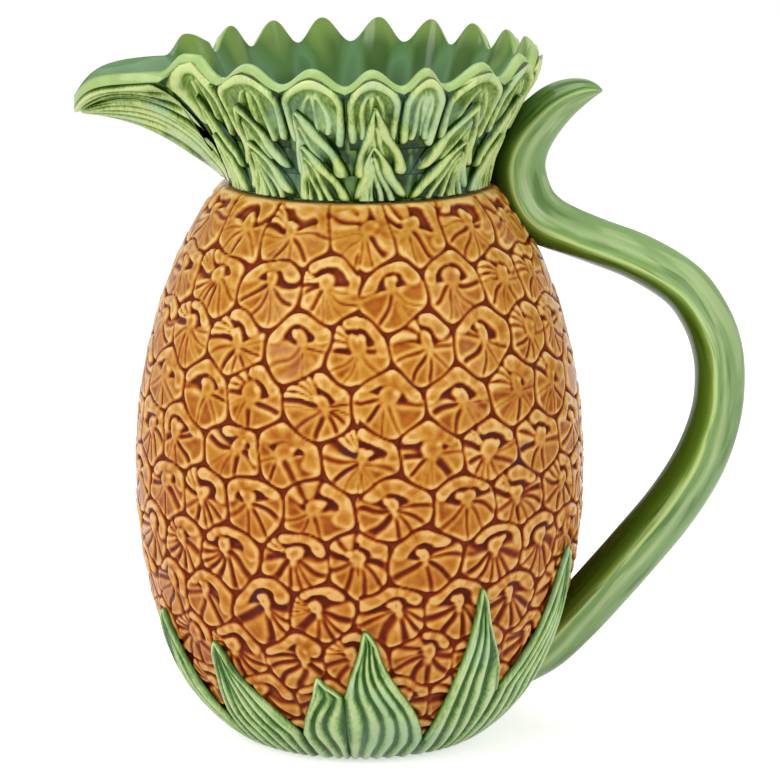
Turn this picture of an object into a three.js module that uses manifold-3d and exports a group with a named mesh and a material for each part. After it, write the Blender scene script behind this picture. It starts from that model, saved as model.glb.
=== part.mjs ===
// Pineapple jug: a glazed earthenware pitcher shaped as a pineapple.
// Millimetres, +Z up. The origin is the centre of the flat foot, on the table.
// The spout points along -X and the handle along +X.
// An azimuth is in degrees around +Z: 0 is the front (-Y), 90 the handle, -90 the spout.
import * as THREE from 'three';
import { mergeVertices } from 'three/addons/utils/BufferGeometryUtils.js';
import Module from 'manifold-3d';

const wasm = await Module();
wasm.setup();

// Driving dimensions: fits
const clearance = 0.3;

// Driving dimensions: fruit
const footRadius = 32;
const bellyRadius = 82;
const bellyHeight = 102;
const shoulderHeight = 207;
const neckBore = 43.2;
const fruitWall = 5.5;
const floorThickness = 7;
const insideSteps = 13;
const lowerRounding = { rise: 2.4, swell: 1.6 };
const shoulderRounding = { rise: 2.0, swell: 1.2 };

// Driving dimensions: eyes of the fruit
const eyesPerRow = [15, 18, 20, 21, 21, 21, 21, 20, 20, 18, 16];
const firstEyeHeight = 12;
const topEyeGap = 8;
const eyePitch = (shoulderHeight - firstEyeHeight - topEyeGap) / (eyesPerRow.length - 1);
const eyeRelief = 1.5;
const eyeHood = { reach: 0.73, above: 1.4, below: 0.8 };
const eyeHollow = { reach: 0.45, above: -0.5, below: 0.6 };
const eyeOverlap = 1.8;
const grooveDepth = 1.2;
const eyeStagger = 0.16;
const eyeDrift = 0.9;

// Driving dimensions: crown
const collarWall = 4;
const rimRadius = 64;
const crownHeight = 40.7;
const rimTipRise = 6;
const rimTipRiseBack = 9;
const rimTipFlare = 1.2;
const rimTipRoundness = 1.7;
const rimTipReach = 6;
const collarFlare = 1.6;
const collarLevels = [0, 0.14, 0.3, 0.52, 0.76, 0.92, 1];
const collarLevelFoot = 0.35;
const tipSteps = 3;

// Driving dimensions: crown leaves, with foot and top as shares of the way from the neck to the rim
const leafThickness = 2.4;
const leafFootThickness = 0.4;
const leafEdges = { edge: 0.45, half: 0.85 };
const leafShingle = 2.7;
const leafGap = 0.5;
const leafSeat = 2 * clearance;
const rimTier = { foot: 0.56, top: 1, startWidth: 0.5 };
const middleTier = { foot: 0.3, top: 0.82, startWidth: 0.8 };
const lowerTier = { foot: 0.03, top: 0.52, startWidth: 0.97 };
const tierTipWidth = 0.06;
const tierTipThickness = 0.6;

// Driving dimensions: spout
const spoutAzimuth = -90;
const spoutHalfAngle = 26;
const spoutRadius = 103.5;
const spoutDrop = 13.5;
const spoutLipAngle = 6;
const spoutLipShare = 0.7;
const spoutFullness = 0.8;
const spoutBellySweep = 2;
const spoutSteps = 16;
const spoutLeafPlace = { tip: 2.2, inner: 0.8, outer: 17, foot: 0.06, top: 0.98 };
const spoutLeafWidth = { start: 0.55, end: 0.2 };

// Driving dimensions: base leaves
const baseLeafThickness = 2.1;
const baseLeafFoot = 0.8;
const baseLeafTaper = 1.55;
const baseLeafTip = 0.03;

// Driving dimensions: handle
const handleHalfWidth = 11.5;
const handleFullThickness = 8.6;
const handleCorner = 1.45;
const handleSides = 10;
const handleSteps = 38;

// Rim leaves: azimuths of the tip, the left edge and the right edge
const rimLeaves = [
  [-67, -72, -52], [-38, -52, -26], [-15, -26, -4.5], [4, -4.5, 14], [22, 14, 29], [43, 29, 53],
  [65, 53, 75], [84, 75, 94], [103, 94, 111], [119, 111, 128], [137, 128, 146], [154, 146, 164],
  [173, 164, 183], [193, 183, 202], [211, 202, 221], [230, 221, 240], [248, 240, 252],
];

// Columns of leaves below the rim: azimuths of the tips, the left edge and the right edge
const crownColumns = [
  [-65, -72, -53], [-43, -53, -26], [-21, -26, -3], [5, -3, 21], [41, 21, 53], [63, 53, 75],
  [117, 105, 129], [142, 129, 154], [167, 154, 180], [193, 180, 206], [219, 206, 233], [245, 233, 252],
];

// Leaves around the foot: azimuths of the tip, the left edge and the right edge, the tip's height, and the
// heights of the notches that part the leaf from its neighbours on the left and on the right
const baseLeaves = [
  [-65, -82, -54, 56, 20, 9], [-43, -54, -21, 50, 9, 15], [-12, -21, -4.7, 41, 15, 33],
  [1, -4.7, 24.5, 60, 33, 12], [32, 24.5, 46.5, 73, 12, 30], [66, 46.5, 76, 79, 30, 12],
  [90, 76, 104, 17, 12, 12], [114, 104, 132, 70, 12, 24], [143, 132, 160, 48, 24, 12],
  [172, 160, 188, 62, 12, 26], [201, 188, 216, 52, 26, 12], [233, 216, 247, 66, 12, 28],
  [262, 247, 278, 46, 28, 20],
];

// The handle's centre line in the plane of the spout, from the curled tip down: x and half the thickness in
// that plane, and the height as a share of the crown's height in the hook and of the fruit's in the grip
const handleHook = [
  [86.4, 0.843, 0.8], [80.5, 0.801, 4.6], [73, 0.715, 7.4], [66.3, 0.57, 8.6], [59.6, 0.349, 10],
  [57.4, 0.103, 10.4],
];
const handleGrip = [
  [61, 0.964, 10.4], [67.5, 0.932, 9.7], [75.2, 0.914, 9], [86.5, 0.893, 8.6], [102.8, 0.862, 8.8],
  [118.4, 0.815, 9], [126.7, 0.761, 9.1], [131.3, 0.706, 9.3], [132.8, 0.648, 9.3], [131.6, 0.578, 9.5],
  [126.2, 0.498, 10], [116.3, 0.416, 10.3], [102.6, 0.332, 10.5], [86.9, 0.243, 10.5], [78.4, 0.197, 10.3],
  [70, 0.152, 9.5], [62.5, 0.121, 8], [55, 0.087, 5], [50, 0.07, 3],
];

const { lerp, smoothstep, degToRad } = THREE.MathUtils;
const neckRadius = neckBore + fruitWall;
const collarFoot = shoulderHeight + clearance;
const rimHeight = collarFoot + crownHeight;
const handleAzimuth = spoutAzimuth + 180;
const collarFootRadius = neckBore + collarWall;

function onCircle(azimuth, radius, height) {
  const angle = degToRad(azimuth);
  return new THREE.Vector3(radius * Math.sin(angle), -radius * Math.cos(angle), height);
}

// A repeatable number from -1 to 1, which makes hand-pressed copies differ a little
function wobble(row, column) {
  const wave = Math.sin(row * 12.9898 + column * 78.233) * 43758.5453;
  return 2 * (wave - Math.floor(wave)) - 1;
}

// Closed surfaces

class Skin {
  constructor() {
    this.corners = [];
  }

  triangle(a, b, c) {
    this.corners.push(a, b, c);
  }

  // Joins one ring to the next one round a profile that runs up outside and down inside
  band(first, second) {
    const count = Math.max(first.length, second.length);
    const at = (ring, index) => ring[index % ring.length];
    for (let i = 0; i < count; i += 1) {
      if (first.length > 1) this.triangle(at(first, i), at(first, i + 1), at(second, i + 1));
      if (second.length > 1) this.triangle(at(first, i), at(second, i + 1), at(second, i));
    }
  }

  bands(rings) {
    for (let i = 0; i + 1 < rings.length; i += 1) this.band(rings[i], rings[i + 1]);
  }

  // Closes a ring that runs along the outside of a pad and back along its inside
  padEnd(ring, first) {
    const last = ring.length - 1;
    for (let k = 0; 2 * k + 2 < last; k += 1) {
      const corners = [ring[k], ring[k + 1], ring[last - k - 1], ring[last - k]];
      const [a, b, c, d] = first ? [corners[1], corners[0], corners[3], corners[2]] : corners;
      this.triangle(a, b, c);
      this.triangle(a, c, d);
    }
  }

  geometry() {
    const plain = new THREE.BufferGeometry().setFromPoints(this.corners);
    return facingOut(mergeVertices(plain, 1e-4));
  }
}

function signedVolume(geometry) {
  const { position } = geometry.attributes;
  const corner = [0, 1, 2].map(() => new THREE.Vector3());
  let total = 0;
  for (let i = 0; i < geometry.index.count; i += 3) {
    corner.forEach((point, k) => point.fromBufferAttribute(position, geometry.index.getX(i + k)));
    total += corner[0].dot(corner[1].clone().cross(corner[2]));
  }
  return total;
}

function facingOut(geometry) {
  if (signedVolume(geometry) < 0) geometry.index.array.reverse();
  return geometry;
}

// A closed body from rings of equal length, with a fan over each end
function loft(rings) {
  const skin = new Skin();
  const middle = (ring) => ring.reduce((sum, p) => sum.add(p), new THREE.Vector3()).divideScalar(ring.length);
  skin.bands([[middle(rings[0])], ...rings, [middle(rings[rings.length - 1])]]);
  return skin.geometry();
}

// Boolean cuts

function toSolid(geometry) {
  const vertProperties = new Float32Array(geometry.attributes.position.array);
  const triVerts = new Uint32Array(geometry.index.array);
  return new wasm.Manifold(new wasm.Mesh({ numProp: 3, vertProperties, triVerts }));
}

function toGeometry(solid) {
  const { vertProperties, triVerts } = solid.getMesh();
  const geometry = new THREE.BufferGeometry();
  geometry.setAttribute('position', new THREE.BufferAttribute(vertProperties, 3));
  geometry.setIndex(new THREE.BufferAttribute(triVerts, 1));
  return geometry;
}

// Fruit

function fruitRadius(height) {
  if (height < bellyHeight) {
    const below = 1 - Math.pow(1 - height / bellyHeight, lowerRounding.rise);
    return footRadius + (bellyRadius - footRadius) * Math.pow(below, 1 / lowerRounding.swell);
  }
  const along = Math.min((height - bellyHeight) / (shoulderHeight - bellyHeight), 1);
  const above = 1 - Math.pow(along, shoulderRounding.rise);
  return neckRadius + (bellyRadius - neckRadius) * Math.pow(above, 1 / shoulderRounding.swell);
}

// How the fruit's radius grows with height
function fruitSlope(height) {
  const step = 0.25;
  const low = Math.max(height - step, 0);
  return (fruitRadius(height + step) - fruitRadius(low)) / (height + step - low);
}

function eyeRow(row) {
  const count = eyesPerRow[row];
  const pitch = 360 / count;
  const height = firstEyeHeight + row * eyePitch;
  return Array.from({ length: count }, (_, k) => ({
    name: `eye ${row} ${k}`,
    azimuth: (k + 0.5 * (row % 2) + eyeStagger * wobble(row, k)) * pitch,
    height: height + eyeDrift * wobble(row + 40, k),
    relief: eyeRelief,
  }));
}

// Points of the plain foot and neck, two for each eye beside them
function plainRow(eyes, height) {
  const count = 2 * eyes;
  const azimuth = (k) => (k * 360) / count;
  const name = (k) => `plain ${height} ${k}`;
  return Array.from({ length: count }, (_, k) => ({ name: name(k), azimuth: azimuth(k), height, relief: 0 }));
}

// The groove point where three cells meet. An eye's hood pushes up into the cells above it, so the groove
// lies nearer to the lower eyes.
function meeting(points) {
  const middle = points.reduce((sum, point) => sum + point.height, 0) / points.length;
  const weight = ({ height }) => (height < middle ? eyeOverlap : 1);
  const total = points.reduce((sum, point) => sum + weight(point), 0);
  const mean = (key) => points.reduce((sum, point) => sum + weight(point) * point[key], 0) / total;
  return { azimuth: mean('azimuth'), height: mean('height'), relief: -grooveDepth };
}

function toPoint({ azimuth, height, relief }, grow) {
  return onCircle(azimuth, fruitRadius(height) + relief + grow, height);
}

// Threes of neighbours between a row and the row above it
function threesBetween(lower, upper) {
  const at = (row, index) => {
    const point = row[index % row.length];
    return { ...point, azimuth: point.azimuth + 360 * Math.floor(index / row.length) };
  };
  const threes = [];
  let i = 0;
  let j = 0;
  while (i < lower.length || j < upper.length) {
    const [a, b, nextA, nextB] = [at(lower, i), at(upper, j), at(lower, i + 1), at(upper, j + 1)];
    const lowerFirst = Math.abs(nextA.azimuth - b.azimuth) < Math.abs(nextB.azimuth - a.azimuth);
    if (j >= upper.length || (i < lower.length && lowerFirst)) {
      threes.push([a, nextA, b]);
      i += 1;
    } else {
      threes.push([a, nextB, b]);
      j += 1;
    }
  }
  return threes;
}

function turnBetween(from, to) {
  return THREE.MathUtils.euclideanModulo(to - from + 180, 360) - 180;
}

// Adds a triangle of the fruit's outside, the way round that faces away from the fruit
function addOutward(skin, corners, grow) {
  const [a, b, c] = corners.map((corner) => toPoint(corner, grow));
  const facing = b.clone().sub(a).cross(c.clone().sub(a));
  const outward = onCircle(corners[0].azimuth, 1, -fruitSlope(corners[0].height));
  if (facing.dot(outward) > 0) skin.triangle(a, b, c);
  else skin.triangle(a, c, b);
}

// The slice of an eye's cell at one side: from the groove over the hood and the hollow to the bud
function addSlice(skin, eye, ends, grow) {
  const ring = ({ reach, above, below }) => ends.map((end) => ({
    azimuth: eye.azimuth + reach * turnBetween(eye.azimuth, end.azimuth),
    height: lerp(eye.height, end.height, reach),
    relief: end.height > eye.height ? above : below,
  }));
  const rings = eye.relief > 0 ? [ends, ring(eyeHood), ring(eyeHollow)] : [ends];
  for (let k = 0; k + 1 < rings.length; k += 1) {
    const [[a, b], [c, d]] = [rings[k], rings[k + 1]];
    addOutward(skin, [c, a, b], grow);
    addOutward(skin, [c, b, d], grow);
  }
  const [last, end] = rings[rings.length - 1];
  addOutward(skin, [eye, last, end], grow);
}

// The outside of the fruit with its eyes, which a neighbour's cut takes a clearance larger
function fruitOutside(skin, grow) {
  const foot = plainRow(eyesPerRow[0], 0);
  const neck = plainRow(eyesPerRow[eyesPerRow.length - 1], shoulderHeight);
  const rows = [foot, ...eyesPerRow.map((_, row) => eyeRow(row)), neck];
  const borders = new Map();
  for (let i = 0; i + 1 < rows.length; i += 1) {
    for (const three of threesBetween(rows[i], rows[i + 1])) {
      const end = meeting(three);
      three.forEach((point, k) => {
        const pair = [point, three[(k + 1) % 3]];
        const key = pair.map(({ name }) => name).sort().join(' to ');
        const border = borders.get(key) ?? { pair, ends: [] };
        border.ends.push(end);
        borders.set(key, border);
      });
    }
  }
  for (const { pair, ends } of borders.values()) {
    if (ends.length === 2) pair.forEach((eye) => addSlice(skin, eye, ends, grow));
    else addOutward(skin, [...pair, ...ends], grow);
  }
  return { foot: foot.map((point) => toPoint(point, grow)), neck: neck.map((point) => toPoint(point, grow)) };
}

function fruitBody() {
  const skin = new Skin();
  const { foot, neck } = fruitOutside(skin, 0);
  skin.band([new THREE.Vector3()], foot);
  const insideRing = (height, radius) => neck.map((_, k) => onCircle((k * 360) / neck.length, radius, height));
  const inside = Array.from({ length: insideSteps + 1 }, (_, k) => {
    const share = (1 + Math.cos((Math.PI * k) / insideSteps)) / 2;
    const height = lerp(floorThickness, shoulderHeight, share);
    return insideRing(height, fruitRadius(height) - fruitWall);
  });
  skin.bands([neck, ...inside, [new THREE.Vector3(0, 0, floorThickness)]]);
  return skin.geometry();
}

function fruitBlank() {
  const skin = new Skin();
  const { foot, neck } = fruitOutside(skin, clearance);
  skin.band([new THREE.Vector3()], foot);
  skin.band(neck, [new THREE.Vector3(0, 0, shoulderHeight)]);
  return skin.geometry();
}

// Crown

function awayFromSpout(azimuth) {
  return Math.abs(turnBetween(spoutAzimuth, azimuth));
}

// How far the wall is drawn out into the spout: 1 along its middle, 0 beside it
function spoutShare(azimuth) {
  const away = Math.min(awayFromSpout(azimuth) / spoutHalfAngle, 1);
  return Math.pow((1 + Math.cos(Math.PI * away)) / 2, spoutFullness);
}

function rimTipShare(azimuth) {
  for (const [tip, left, right] of rimLeaves) {
    const turned = THREE.MathUtils.euclideanModulo(azimuth - left, 360) + left;
    if (turned < right) {
      const away = turned < tip ? (tip - turned) / (tip - left) : (turned - tip) / (right - tip);
      return 1 - Math.pow(away, rimTipRoundness);
    }
  }
  return 0;
}

function rimLevel(azimuth) {
  const lip = Math.exp(-Math.pow(awayFromSpout(azimuth) / spoutLipAngle, 2));
  const drop = lerp(spoutShare(azimuth), lip, spoutLipShare);
  return rimHeight - spoutDrop * drop;
}

// A point of the crown's outer wall: along is 0 at the neck and 1 at the rim
function collarPoint(azimuth, along, tipShare = rimTipShare(azimuth)) {
  const share = spoutShare(azimuth);
  const tip = tipShare * Math.pow(along, rimTipReach);
  const rise = lerp(rimTipRise, rimTipRiseBack, (1 - Math.cos(degToRad(azimuth))) / 2);
  const outer = lerp(rimRadius, spoutRadius, share) + rimTipFlare * tip;
  const radius = lerp(collarFootRadius, outer, Math.pow(along, lerp(collarFlare, 1, share)));
  const climb = 1 - Math.pow(1 - along, lerp(1, spoutBellySweep, share));
  return onCircle(azimuth, radius, lerp(collarFoot, rimLevel(azimuth), climb) + rise * tip);
}

function collarNormal(azimuth, along) {
  const step = 0.01;
  const low = Math.max(along - step, 0);
  const high = Math.min(along + step, 1);
  const across = collarPoint(azimuth + 0.5, along, 0).sub(collarPoint(azimuth - 0.5, along, 0));
  const up = collarPoint(azimuth, high, 0).sub(collarPoint(azimuth, low, 0));
  const level = onCircle(azimuth, 1, 0);
  const sloped = across.cross(up).normalize();
  return level.lerp(sloped, smoothstep(along, 0, collarLevelFoot)).normalize();
}

function collarOffset(azimuth, along, distance) {
  return collarPoint(azimuth, along).addScaledVector(collarNormal(azimuth, along), distance);
}

// Azimuths of the wall's columns: some each side of every tip, then those across the spout
function rimAzimuths() {
  const span = (from, to, count) => Array.from({ length: count }, (_, k) => lerp(from, to, k / count));
  const scallops = rimLeaves.flatMap(([tip, left, right]) => [
    ...span(left, tip, tipSteps),
    ...span(tip, right, tipSteps),
  ]);
  const spoutStart = rimLeaves[rimLeaves.length - 1][2];
  return [...scallops, ...span(spoutStart, rimLeaves[0][1] + 360, spoutSteps)];
}

function collarRings(distance) {
  const azimuths = rimAzimuths();
  return collarLevels.map((along) => azimuths.map((azimuth) => collarOffset(azimuth, along, distance)));
}

function crownCollar() {
  const outside = collarRings(0);
  const inside = collarRings(-collarWall).reverse();
  const skin = new Skin();
  skin.bands([...outside, ...inside, outside[0]]);
  return skin.geometry();
}

function collarBlank() {
  return loft(collarRings(clearance));
}

// Leaves

// A leaf is a pad over a surface, thick along its middle and thin at its edges. From its foot (0) to its
// tip (1), edges gives the azimuths of its sides, lift how far it stands off and thickness its middle.
// grow makes it larger all round, for the cut that it leaves in a neighbour.
function leaf({ surface, edges, foot, top, thickness, lift, rows, grow = 0 }) {
  const across = [0, 0.25, 0.5, 0.75, 1];
  const swell = [leafEdges.edge, leafEdges.half, 1, leafEdges.half, leafEdges.edge];
  const rings = [];
  for (let row = 0; row <= rows; row += 1) {
    const share = row / rows;
    const [left, right] = edges(share);
    const level = lerp(foot, top, share);
    const depth = (k) => lift(share) + thickness(share) * swell[k] + grow;
    const outer = across.map((side, k) => surface(lerp(left, right, side), level, depth(k)));
    const inner = across.map((side) => surface(lerp(left, right, side), level, lift(share) - grow));
    rings.push([...outer, ...inner.reverse()]);
  }
  const skin = new Skin();
  skin.padEnd(rings[0], true);
  skin.bands(rings);
  skin.padEnd(rings[rows], false);
  return skin.geometry();
}

// The azimuth that keeps half the gap to the next leaf at an edge, at the given radius
function besideGap(edge, inward, radius, grow) {
  return edge + inward * THREE.MathUtils.radToDeg((leafGap / 2 - grow) / radius);
}

// Edges that narrow round a line from the middle of the foot to the tip
function narrowing([tip, left, right], width, grow) {
  const leftEdge = besideGap(left, 1, collarFootRadius, grow);
  const rightEdge = besideGap(right, -1, collarFootRadius, grow);
  return (share) => {
    const middle = lerp((left + right) / 2, tip, share);
    return [lerp(middle, leftEdge, width(share)), lerp(middle, rightEdge, width(share))];
  };
}

function crownThickness(share) {
  return lerp(leafFootThickness, leafThickness, smoothstep(share, 0, 0.8));
}

function rimLeaf(azimuths, grow = 0) {
  const width = (share) => lerp(rimTier.startWidth, 1, smoothstep(share, 0, 0.7));
  return leaf({
    surface: collarOffset,
    edges: narrowing(azimuths, width, grow),
    grow,
    foot: rimTier.foot - grow / crownHeight,
    top: rimTier.top,
    thickness: crownThickness,
    lift: () => leafSeat,
    rows: 4,
  });
}

function columnLeaf(azimuths, { foot, top, startWidth }) {
  const width = (share) => startWidth * lerp(1, tierTipWidth, Math.pow(share, 2));
  return leaf({
    surface: collarOffset,
    edges: narrowing(azimuths, width, 0),
    foot,
    top,
    thickness: (share) => crownThickness(share) * lerp(1, tierTipThickness, Math.pow(share, 3)),
    lift: (share) => leafSeat + leafShingle * Math.pow(share, 1.5),
    rows: 4,
  });
}

function spoutLeaf(side) {
  const { tip, inner, outer, foot, top } = spoutLeafPlace;
  const { start, end } = spoutLeafWidth;
  const edges = (share) => {
    const width = Math.min(start + share, 1) * lerp(1, end, Math.pow(share, 3));
    const middle = lerp((inner + outer) / 2, tip, share);
    const pair = [lerp(middle, inner, width), lerp(middle, outer, width)];
    return pair.map((away) => spoutAzimuth + side * away);
  };
  return leaf({
    surface: collarOffset,
    edges,
    foot,
    top,
    thickness: () => leafThickness,
    lift: () => 1.5 * leafSeat,
    rows: 8,
  });
}

function fruitOffset(azimuth, height, distance) {
  const slope = fruitSlope(height);
  const rise = 1 / Math.hypot(1, slope);
  const radius = fruitRadius(height) + distance * rise;
  return onCircle(azimuth, radius, Math.max(height - distance * slope * rise, baseLeafFoot));
}

function baseLeaf([tip, left, right, tipHeight, leftNotch, rightNotch], grow = 0) {
  const standOff = eyeRelief + clearance;
  const foot = 2 * baseLeafFoot;
  const top = tipHeight + 2 * grow;
  const side = (edge, inward, notch, share) => {
    const past = THREE.MathUtils.clamp((lerp(foot, top, share) - notch) / (top - notch), 0, 1);
    const close = (1 - Math.pow(1 - past, baseLeafTaper)) * (1 - baseLeafTip);
    return lerp(besideGap(edge, inward, footRadius, grow), tip, close);
  };
  return leaf({
    surface: fruitOffset,
    edges: (share) => [side(left, 1, leftNotch, share), side(right, -1, rightNotch, share)],
    grow,
    foot,
    top,
    thickness: () => baseLeafThickness,
    lift: () => standOff,
    rows: 8,
  });
}

// Handle

function handleRing(point, tangent, halfThickness) {
  const outward = new THREE.Vector3(-tangent.z, 0, tangent.x);
  const halfWidth = handleHalfWidth * Math.min(1, halfThickness / handleFullThickness);
  return Array.from({ length: handleSides }, (_, k) => {
    const angle = (2 * Math.PI * k) / handleSides;
    const shape = (wave) => Math.sign(wave) * Math.pow(Math.abs(wave), 2 / handleCorner);
    return point.clone()
      .addScaledVector(outward, halfThickness * shape(Math.cos(angle)))
      .add(new THREE.Vector3(0, halfWidth * shape(Math.sin(angle)), 0));
  });
}

function handleGeometry() {
  const places = [
    ...handleHook.map(([x, share, half]) => [x, collarFoot + share * crownHeight, half]),
    ...handleGrip.map(([x, share, half]) => [x, share * shoulderHeight, half]),
  ];
  const line = new THREE.CatmullRomCurve3(places.map(([x, z]) => new THREE.Vector3(x, 0, z)));
  const thickness = new THREE.CatmullRomCurve3(places.map(([, , half]) => new THREE.Vector3(half, 0, 0)));
  const rings = [];
  for (let k = 0; k <= handleSteps; k += 1) {
    const share = k / handleSteps;
    rings.push(handleRing(line.getPoint(share), line.getTangent(share), thickness.getPoint(share).x));
  }
  const atHandle = ([, left, right]) => left < handleAzimuth && handleAzimuth < right;
  const neighbours = [
    fruitBlank(),
    collarBlank(),
    rimLeaf(rimLeaves.find(atHandle), clearance),
    baseLeaf(baseLeaves.find(atHandle), clearance),
  ];
  const uncut = toSolid(loft(rings));
  return toGeometry(neighbours.reduce((solid, blank) => solid.subtract(toSolid(blank)), uncut));
}

// Glazes
const amberGlaze = new THREE.MeshStandardMaterial({ color: 0xc4812f, roughness: 0.15, metalness: 0 });
const crownGlaze = new THREE.MeshStandardMaterial({ color: 0x6fa15a, roughness: 0.15, metalness: 0 });
const baseLeafGlaze = new THREE.MeshStandardMaterial({ color: 0x7aa866, roughness: 0.15, metalness: 0 });
const handleGlaze = new THREE.MeshStandardMaterial({ color: 0x5f8a3c, roughness: 0.15, metalness: 0 });

// Assembly
const jug = new THREE.Group();

function add(name, geometry, material) {
  const mesh = new THREE.Mesh(geometry, material.clone());
  mesh.name = name;
  jug.add(mesh);
}

const numbered = (name, index) => `${name}_${String(index + 1).padStart(2, '0')}`;

add('fruit_body', fruitBody(), amberGlaze);
add('crown_collar', crownCollar(), crownGlaze);
add('handle', handleGeometry(), handleGlaze);
rimLeaves.forEach((edges, k) => add(numbered('rim_leaf', k), rimLeaf(edges), crownGlaze));
crownColumns.forEach((edges, k) => {
  add(numbered('middle_leaf', k), columnLeaf(edges, middleTier), crownGlaze);
  add(numbered('lower_leaf', k), columnLeaf(edges, lowerTier), crownGlaze);
});
add('spout_leaf_near', spoutLeaf(1), crownGlaze);
add('spout_leaf_far', spoutLeaf(-1), crownGlaze);
baseLeaves.forEach((edges, k) => add(numbered('base_leaf', k), baseLeaf(edges), baseLeafGlaze));

export default jug;
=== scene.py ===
import bpy
import numpy as np
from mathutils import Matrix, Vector


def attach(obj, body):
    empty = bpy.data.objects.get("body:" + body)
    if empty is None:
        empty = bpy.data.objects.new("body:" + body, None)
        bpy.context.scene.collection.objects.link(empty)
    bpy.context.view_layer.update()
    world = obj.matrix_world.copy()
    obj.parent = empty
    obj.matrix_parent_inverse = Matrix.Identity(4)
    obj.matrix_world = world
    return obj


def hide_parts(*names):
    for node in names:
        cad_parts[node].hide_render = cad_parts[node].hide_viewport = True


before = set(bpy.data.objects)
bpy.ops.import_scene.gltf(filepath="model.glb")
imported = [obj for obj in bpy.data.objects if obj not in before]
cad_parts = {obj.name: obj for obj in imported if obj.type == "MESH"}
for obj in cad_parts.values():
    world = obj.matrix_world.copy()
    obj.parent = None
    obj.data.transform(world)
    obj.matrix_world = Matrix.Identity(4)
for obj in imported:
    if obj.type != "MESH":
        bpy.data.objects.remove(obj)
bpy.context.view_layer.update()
MM = 0.001

# Sizes of the fruit, as in the solids
FOOT_RADIUS, BELLY_RADIUS, BELLY_HEIGHT, SHOULDER_HEIGHT = 32.0, 82.0, 102.0, 207.0
NECK_BORE, FRUIT_WALL, FLOOR_THICKNESS = 43.2, 5.5, 7.0
NECK_RADIUS = NECK_BORE + FRUIT_WALL
LOWER_RISE, LOWER_ROUNDING, UPPER_ROUNDING = 2.4, 1.6, 1.2
EYES_PER_ROW = [15, 18, 20, 21, 21, 21, 21, 20, 20, 18, 16]
FIRST_EYE_HEIGHT, EYE_PITCH, EYE_STAGGER, EYE_DRIFT = 12.0, 18.7, 0.16, 0.9

# Sizes of the crown, as in the solids
COLLAR_WALL, COLLAR_FOOT, COLLAR_FLARE = 4.0, 207.3, 1.6
COLLAR_FOOT_RADIUS = NECK_BORE + COLLAR_WALL
RIM_RADIUS, RIM_HEIGHT, RIM_TIP_FLARE, RIM_TIP_REACH = 64.0, 248.0, 1.2, 6.0
RIM_TIP_RISE, RIM_TIP_RISE_BACK = 6.0, 9.0
CROWN_HEIGHT = RIM_HEIGHT - COLLAR_FOOT
SPOUT_AZIMUTH, SPOUT_HALF_ANGLE, SPOUT_RADIUS, SPOUT_TIP_HEIGHT = -90.0, 26.0, 103.5, 234.5
SPOUT_LIP_ANGLE, SPOUT_LIP_SHARE, SPOUT_FULLNESS, SPOUT_BELLY_SWEEP = 6.0, 0.7, 0.8, 2.0

# Azimuths of leaf tips and edges, as in the solids
RIM_LEAVES = [
    (-67, -72, -52), (-38, -52, -26), (-15, -26, -4.5), (4, -4.5, 14), (22, 14, 29), (43, 29, 53),
    (65, 53, 75), (84, 75, 94), (103, 94, 111), (119, 111, 128), (137, 128, 146), (154, 146, 164),
    (173, 164, 183), (193, 183, 202), (211, 202, 221), (230, 221, 240), (248, 240, 252),
]
CROWN_COLUMNS = [
    (-65, -72, -53), (-43, -53, -26), (-21, -26, -3), (5, -3, 21), (41, 21, 53), (63, 53, 75),
    (117, 105, 129), (142, 129, 154), (167, 154, 180), (193, 180, 206), (219, 206, 233), (245, 233, 252),
]
# Base leaves: azimuths of the tip and the edges, the tip's height, and the heights of the notches at both edges
BASE_LEAVES = [
    (-65, -82, -54, 56, 20, 9), (-43, -54, -21, 50, 9, 15), (-12, -21, -4.7, 41, 15, 33),
    (1, -4.7, 24.5, 60, 33, 12), (32, 24.5, 46.5, 73, 12, 30), (66, 46.5, 76, 79, 30, 12),
    (90, 76, 104, 17, 12, 12), (114, 104, 132, 70, 12, 24), (143, 132, 160, 48, 24, 12),
    (172, 160, 188, 62, 12, 26), (201, 188, 216, 52, 26, 12), (233, 216, 247, 66, 12, 28),
    (262, 247, 278, 46, 28, 20),
]
# The handle's centre line: x, z and half its thickness in the plane of the spout
HANDLE_LINE = np.array([
    (88.2, 240.3, 0.5), (87.3, 240.7, 1.9), (81.2, 240.2, 5.0), (73, 236.6, 7.5), (66.3, 230.5, 8.6), (59.6, 221.5, 10),
    (57.4, 211.5, 10.4), (61, 199.5, 10.4), (67.5, 193, 9.7), (75.2, 189.3, 9), (86.5, 184.9, 8.6),
    (102.8, 178.5, 8.8), (118.4, 168.7, 9), (126.7, 157.6, 9.1), (131.3, 146.2, 9.3), (132.8, 134.2, 9.3),
    (131.6, 119.6, 9.5), (126.2, 103.1, 10), (116.3, 86.1, 10.3), (102.6, 68.8, 10.5), (86.9, 50.3, 10.5),
    (78.4, 40.7, 10.3), (70, 31.5, 9.5), (62.5, 25, 8), (55, 18, 5), (50, 14.5, 3),
])
HANDLE_HALF_WIDTH, HANDLE_FULL_THICKNESS, HANDLE_CORNER = 11.5, 8.6, 1.45

# The fruit's mesh, and the shape of the cells round its eyes
FRUIT_COLUMNS, FRUIT_STEP = 840, 0.66
HOOD_STRETCH, CELL_ROUNDING = 0.42, 1.15
GROOVE_LEVEL, LINE_SWAY, FULL_EYE, RELIEF_SOFTENING = -1.1, 0.9, 22.6, 0.44
# The lip of the crown's wall, the gap beside its leaves, and the levels on the wall between which they stand
LIP_RISE, LEAF_GAP = 1.0, 0.12
RIM_LEVELS, MIDDLE_LEVELS, LOWER_LEVELS = (0.48, 1.0), (0.24, 0.86), (0.02, 0.56)
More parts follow.
